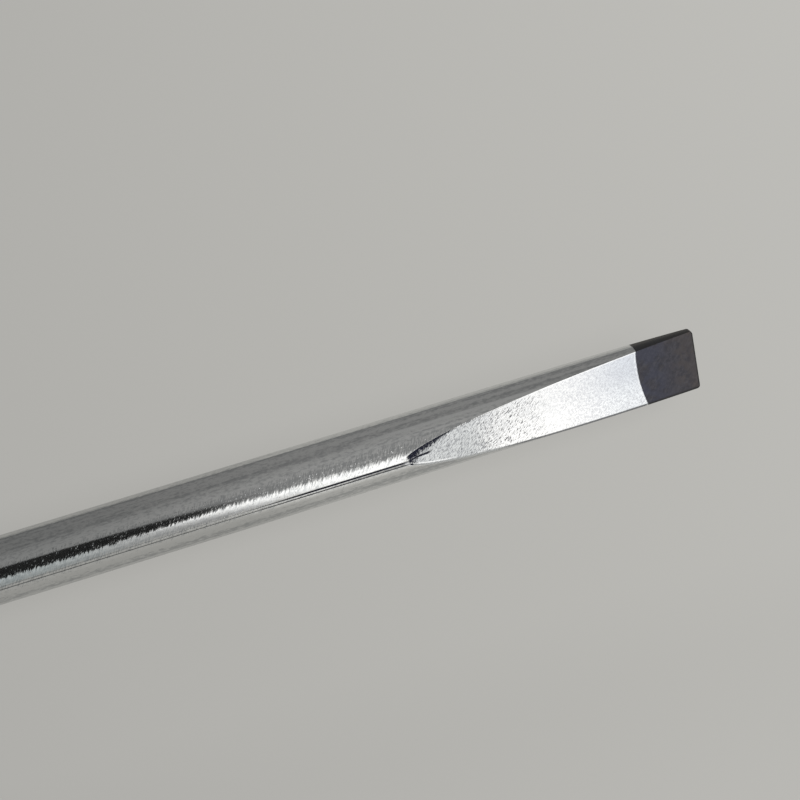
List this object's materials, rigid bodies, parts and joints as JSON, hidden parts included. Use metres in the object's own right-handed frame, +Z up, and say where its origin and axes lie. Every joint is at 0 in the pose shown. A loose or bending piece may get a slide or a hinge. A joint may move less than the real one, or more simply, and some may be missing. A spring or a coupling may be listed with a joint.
{
  "type": "slotted screwdriver",
  "caption": "Slotted screwdriver with a plated round shank, a ground parallel tip with a blackened end, and a six-sided moulded handle with soft grip inlays and a hanging hole.",
  "frame": {"origin": "middle of the box's underside, on the surface that the tool lies on", "axes": "+X along the tool's axis towards the tip, +Z up from the surface, with the handle on one of its facets"},
  "size_m": [0.206, 0.0334, 0.0298],
  "materials": {
    "plated_steel": "satin plated, blackened at the tip",
    "core_plastic": "fine moulded",
    "handle_plastic": "smooth moulded",
    "grip_rubber": "matt, ribbed",
    "cap_plastic": "smooth moulded"
  },
  "bodies": {
    "root": {"blade": "plated_steel", "tang_core": "core_plastic", "handle_body": "handle_plastic", "waist_sleeve": "grip_rubber", "grip_inlay_1": "grip_rubber", "grip_inlay_2": "grip_rubber", "grip_inlay_3": "grip_rubber", "grip_inlay_4": "grip_rubber", "grip_inlay_5": "grip_rubber", "grip_inlay_6": "grip_rubber", "end_cap": "cap_plastic"}
  },
  "joints": []
}
